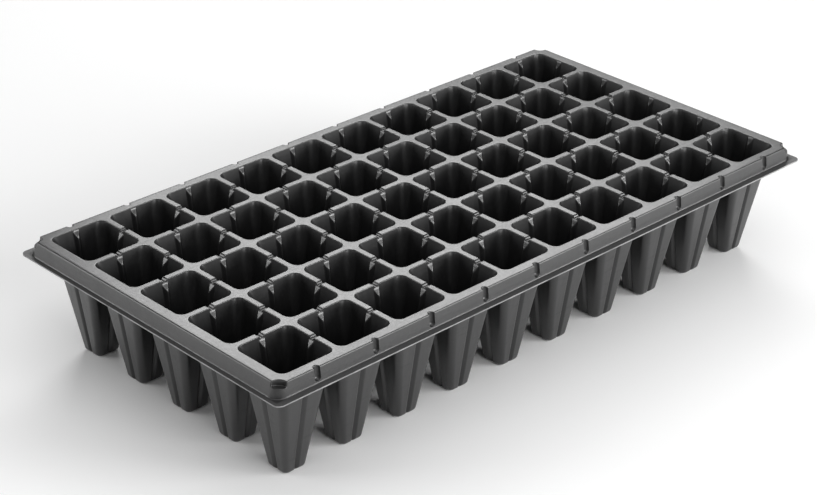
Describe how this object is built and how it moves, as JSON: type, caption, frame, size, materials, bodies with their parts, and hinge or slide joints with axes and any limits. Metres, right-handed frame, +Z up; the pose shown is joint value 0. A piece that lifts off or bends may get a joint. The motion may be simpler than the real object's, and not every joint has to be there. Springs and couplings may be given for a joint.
{
  "type": "plug tray",
  "caption": "Thin black plastic plug tray for seedlings, with a grid of tapered ribbed cells open at the top, drain holes, webs with saddle notches, and a flared rim with a flat flange.",
  "frame": {"origin": "on the ground under the tray's centre", "axes": "+X along the long side, +Y along the short side, +Z up"},
  "size_m": [0.54, 0.2816, 0.09],
  "materials": {
    "tray_plastic": "satin"
  },
  "bodies": {
    "root": {"cell_r1_c1": "tray_plastic", "cell_r1_c2": "tray_plastic", "cell_r1_c3": "tray_plastic", "cell_r1_c4": "tray_plastic", "cell_r1_c5": "tray_plastic", "cell_r1_c6": "tray_plastic", "cell_r1_c7": "tray_plastic", "cell_r1_c8": "tray_plastic", "cell_r1_c9": "tray_plastic", "cell_r1_c10": "tray_plastic", "cell_r2_c1": "tray_plastic", "cell_r2_c2": "tray_plastic", "cell_r2_c3": "tray_plastic", "cell_r2_c4": "tray_plastic", "cell_r2_c5": "tray_plastic", "cell_r2_c6": "tray_plastic", "cell_r2_c7": "tray_plastic", "cell_r2_c8": "tray_plastic", "cell_r2_c9": "tray_plastic", "cell_r2_c10": "tray_plastic", "cell_r3_c1": "tray_plastic", "cell_r3_c2": "tray_plastic", "cell_r3_c3": "tray_plastic", "cell_r3_c4": "tray_plastic", "cell_r3_c5": "tray_plastic", "cell_r3_c6": "tray_plastic", "cell_r3_c7": "tray_plastic", "cell_r3_c8": "tray_plastic", "cell_r3_c9": "tray_plastic", "cell_r3_c10": "tray_plastic", "cell_r4_c1": "tray_plastic", "cell_r4_c2": "tray_plastic", "cell_r4_c3": "tray_plastic", "cell_r4_c4": "tray_plastic", "cell_r4_c5": "tray_plastic", "cell_r4_c6": "tray_plastic", "cell_r4_c7": "tray_plastic", "cell_r4_c8": "tray_plastic", "cell_r4_c9": "tray_plastic", "cell_r4_c10": "tray_plastic", "cell_r5_c1": "tray_plastic", "cell_r5_c2": "tray_plastic", "cell_r5_c3": "tray_plastic", "cell_r5_c4": "tray_plastic", "cell_r5_c5": "tray_plastic", "cell_r5_c6": "tray_plastic", "cell_r5_c7": "tray_plastic", "cell_r5_c8": "tray_plastic", "cell_r5_c9": "tray_plastic", "cell_r5_c10": "tray_plastic", "rim_side_front": "tray_plastic", "rim_side_back": "tray_plastic", "rim_side_left": "tray_plastic", "rim_side_right": "tray_plastic", "rim_corner_front_left": "tray_plastic", "rim_corner_front_right": "tray_plastic", "rim_corner_back_left": "tray_plastic", "rim_corner_back_right": "tray_plastic"}
  },
  "joints": []
}
